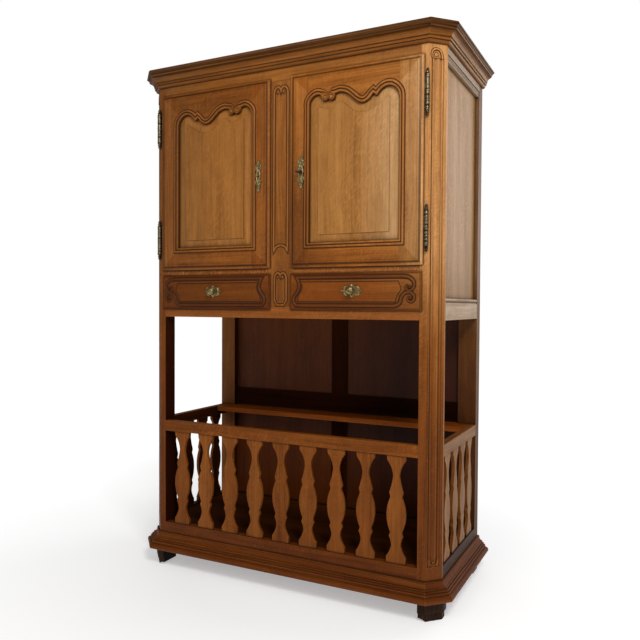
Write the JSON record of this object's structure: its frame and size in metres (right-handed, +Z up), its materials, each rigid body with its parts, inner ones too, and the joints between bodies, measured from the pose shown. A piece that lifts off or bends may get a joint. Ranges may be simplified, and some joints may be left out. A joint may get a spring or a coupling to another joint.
{
  "type": "cupboard",
  "caption": "Oak cupboard with two hinged doors over drawers, on open posts with a balustered gallery, canted corners, moulded cornice and base, and short feet.",
  "frame": {"origin": "middle of the footprint on the floor, taken from the outer box of the whole cupboard", "axes": "+Z up, -Y out of the front, +X to the right as seen from the front"},
  "size_m": [1.284, 0.578, 1.95],
  "materials": {
    "oak_frame": "waxed golden-brown oak with dark patina in the mouldings",
    "oak_panel": "waxed quarter-sawn oak, a little lighter",
    "oak_inside": "dull brown oak",
    "oak_dark": "worn and nearly black oak",
    "brass": "aged greenish brass",
    "bronze": "dark bronzed brass",
    "iron": "dark iron"
  },
  "bodies": {
    "carcass": {"back_ledge": "oak_frame", "back_panels": "oak_panel", "back_rails": "oak_inside", "back_stiles": "oak_inside", "base_moulding": "oak_frame", "centre_muntin": "oak_frame", "cleats": "oak_inside", "cornice": "oak_frame", "cupboard_floor": "oak_inside", "drawer_guides": "oak_inside", "drawer_runners": "oak_inside", "dustboard": "oak_inside", "frieze_rail": "oak_frame", "front_balusters": "oak_frame", "front_feet": "oak_dark", "front_left_post": "oak_frame", "front_right_post": "oak_frame", "gallery_floor": "oak_inside", "gallery_front_rail": "oak_frame", "left_post_hinge_halves": "bronze", "lower_front_rail": "oak_frame", "middle_rails": "oak_frame", "plinth_front_rail": "oak_frame", "rear_feet": "oak_dark", "rear_left_post": "oak_frame", "rear_right_post": "oak_frame", "right_post_hinge_halves": "bronze", "shelf": "oak_inside", "side_balusters": "oak_frame", "side_gallery_rails": "oak_frame", "side_lower_rails": "oak_frame", "side_panels": "oak_panel", "side_plinth_rails": "oak_frame", "side_top_rails": "oak_frame", "top_board": "oak_inside"},
    "left_door": {"left_door_bottom_rail": "oak_frame", "left_door_hinge_halves": "bronze", "left_door_panel": "oak_panel", "left_door_stiles": "oak_frame", "left_door_top_rail": "oak_frame", "left_escutcheon": "brass", "left_lock_case": "iron"},
    "right_door": {"right_door_bottom_rail": "oak_frame", "right_door_hinge_halves": "bronze", "right_door_panel": "oak_panel", "right_door_stiles": "oak_frame", "right_door_top_rail": "oak_frame", "right_escutcheon": "brass", "right_lock_case": "iron"},
    "left_drawer": {"left_drawer_bottom": "oak_inside", "left_drawer_box": "oak_inside", "left_drawer_front": "oak_frame", "left_drawer_knob": "brass"},
    "right_drawer": {"right_drawer_bottom": "oak_inside", "right_drawer_box": "oak_inside", "right_drawer_front": "oak_frame", "right_drawer_knob": "brass"},
    "left_bolt": {"left_lock_bolt": "iron"},
    "right_bolt": {"right_lock_bolt": "iron"},
    "key": {"key": "iron"}
  },
  "joints": [
    {"name": "left_door_hinge", "type": "hinge", "parent": "carcass", "child": "left_door", "pos_m": [-0.5493, -0.252, 1.509], "axis": [0, 0, -1], "range_deg": [0, 165]},
    {"name": "right_door_hinge", "type": "hinge", "parent": "carcass", "child": "right_door", "pos_m": [0.5493, -0.252, 1.509], "axis": [0, 0, 1], "range_deg": [0, 165]},
    {"name": "left_drawer_slide", "type": "slide", "parent": "carcass", "child": "left_drawer", "axis": [0, -1, 0], "range_m": [0, 0.33]},
    {"name": "right_drawer_slide", "type": "slide", "parent": "carcass", "child": "right_drawer", "axis": [0, -1, 0], "range_m": [0, 0.33]},
    {"name": "left_bolt_slide", "type": "slide", "parent": "left_door", "child": "left_bolt", "axis": [1, 0, 0], "range_m": [0, 0.01]},
    {"name": "right_bolt_slide", "type": "slide", "parent": "right_door", "child": "right_bolt", "axis": [-1, 0, 0], "range_m": [0, 0.01]},
    {"name": "key_turn", "type": "hinge", "parent": "right_door", "child": "key", "pos_m": [0.088, -0.258, 1.506], "axis": [0, 1, 0], "range_deg": [0, 180]}
  ],
  "couplings": [
    {"joint": "key_turn", "follows": "right_bolt_slide", "rad_per_m": 314.16}
  ]
}
